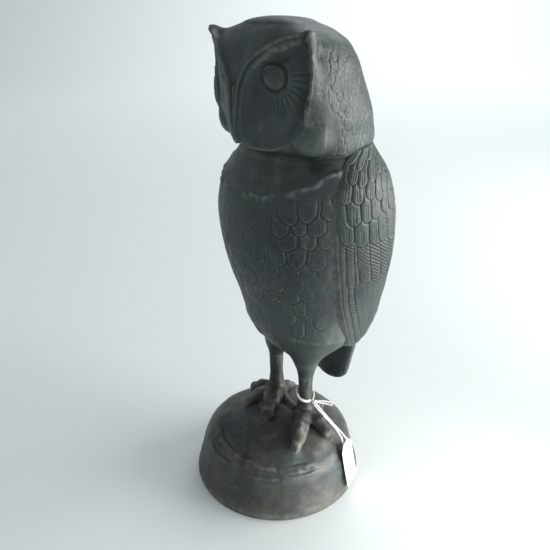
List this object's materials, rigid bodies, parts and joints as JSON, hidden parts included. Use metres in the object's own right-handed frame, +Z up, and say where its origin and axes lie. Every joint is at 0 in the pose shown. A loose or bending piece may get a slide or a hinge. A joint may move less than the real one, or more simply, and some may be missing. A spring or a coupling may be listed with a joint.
{
  "type": "owl figurine",
  "caption": "Standing owl figurine in dark patinated cast bronze on a round drum base, with a plain card tag strung to one leg.",
  "frame": {"origin": "centre of the base's underside, on the surface it stands on", "axes": "+Z up, the owl faces -Y, +X is the owl's own left side"},
  "size_m": [0.1604, 0.1843, 0.4155],
  "materials": {
    "owl_bronze": "dark grey-green patinated bronze, satin, worn lighter on raised edges",
    "leg_bronze": "dark patinated bronze, rough cast",
    "base_bronze": "dark patinated bronze with brown patches, satin",
    "joint_bronze": "raw bronze, as machined",
    "plug_bronze": "bronze, chased flush and patinated",
    "fixing_steel": "zinc-plated steel",
    "tag_card": "blank white card",
    "tag_string": "white cotton string"
  },
  "bodies": {
    "figure": {"base_casting": "base_bronze", "torso_casting": "owl_bronze", "head_casting": "owl_bronze", "neck_sleeve": "joint_bronze", "neck_pins": "joint_bronze", "left_wing": "owl_bronze", "right_wing": "owl_bronze", "tail": "owl_bronze", "left_leg": "leg_bronze", "right_leg": "leg_bronze", "left_foot": "leg_bronze", "right_foot": "leg_bronze", "left_tie_rod": "fixing_steel", "right_tie_rod": "fixing_steel", "tie_rod_upper_washers": "fixing_steel", "tie_rod_upper_nuts": "fixing_steel", "tie_rod_lower_washers": "fixing_steel", "tie_rod_lower_nuts": "fixing_steel", "core_plugs": "plug_bronze", "tag_string_loop": "tag_string", "tag_string_knot": "tag_string", "tag_string_strand": "tag_string", "tag_string_tails": "tag_string"},
    "tag": {"tag_card": "tag_card"}
  },
  "joints": [
    {"name": "tag_swing", "type": "hinge", "parent": "figure", "child": "tag", "pos_m": [0.06384, 0.03394, 0.046], "axis": [0.8695, 0.4623, 0.1736], "range_deg": [-30, 30]}
  ]
}
